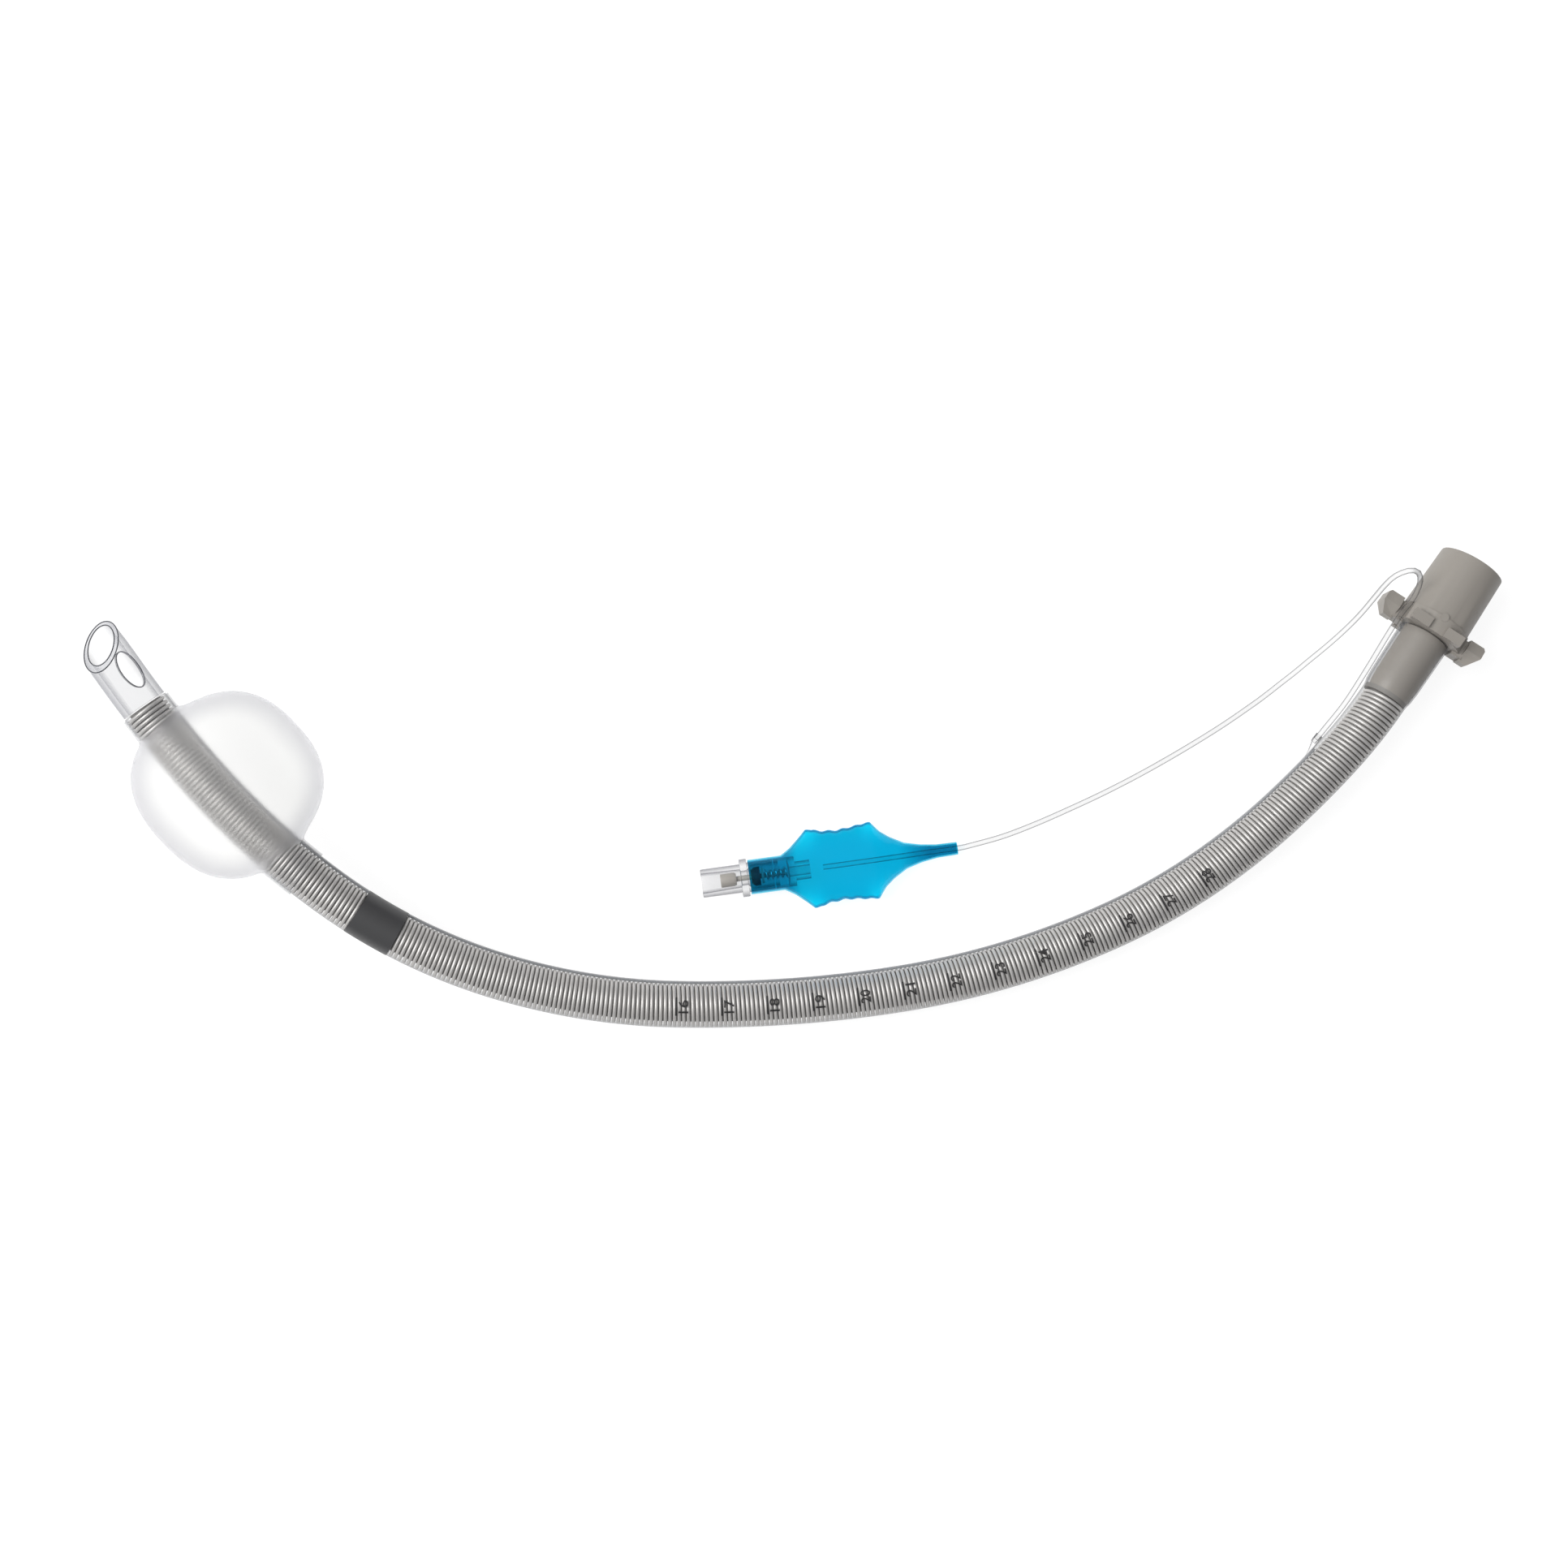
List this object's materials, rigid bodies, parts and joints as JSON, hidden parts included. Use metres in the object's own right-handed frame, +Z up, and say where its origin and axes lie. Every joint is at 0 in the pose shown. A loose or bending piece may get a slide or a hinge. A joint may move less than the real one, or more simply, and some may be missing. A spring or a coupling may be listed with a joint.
{
  "type": "endotracheal tube",
  "caption": "Curved wire-reinforced clear breathing tube with an inflated cuff, grey lugged connector and a blue pilot balloon on a thin line.",
  "frame": {"origin": "middle of the tube's box in plan, on the table top", "axes": "+X towards the connector's side, +Y away from the viewer, +Z up from the table"},
  "size_m": [0.3036, 0.105, 0.04],
  "materials": {
    "clear_vinyl": "clear, smooth",
    "bright_wire": "bright drawn wire",
    "clear_tip_vinyl": "clear, smooth",
    "frosted_film": "thin frosted film",
    "warm_grey_plastic": "translucent, satin",
    "clear_line_vinyl": "clear, smooth",
    "blue_film": "thin clear blue film",
    "clear_polycarbonate": "clear, moulded",
    "beige_nylon": "moulded",
    "black_rubber": "matt",
    "spring_steel": "bright drawn wire"
  },
  "bodies": {
    "tube": {"tube_wall": "clear_vinyl", "reinforcing_wire": "bright_wire", "bevelled_tip": "clear_tip_vinyl", "cuff": "frosted_film", "connector": "warm_grey_plastic", "inflation_line": "clear_line_vinyl", "pilot_balloon": "blue_film", "valve_housing": "clear_polycarbonate", "valve_retainer": "clear_polycarbonate", "valve_spring": "spring_steel"},
    "plunger": {"valve_plunger": "beige_nylon", "valve_seal": "black_rubber"}
  },
  "joints": [
    {"name": "plunger_press", "type": "slide", "parent": "tube", "child": "plunger", "axis": [0.9907, 0.1357, 0], "range_m": [0, 0.0012], "stiffness_N_per_m": 300, "deforming": ["valve_spring"]}
  ]
}
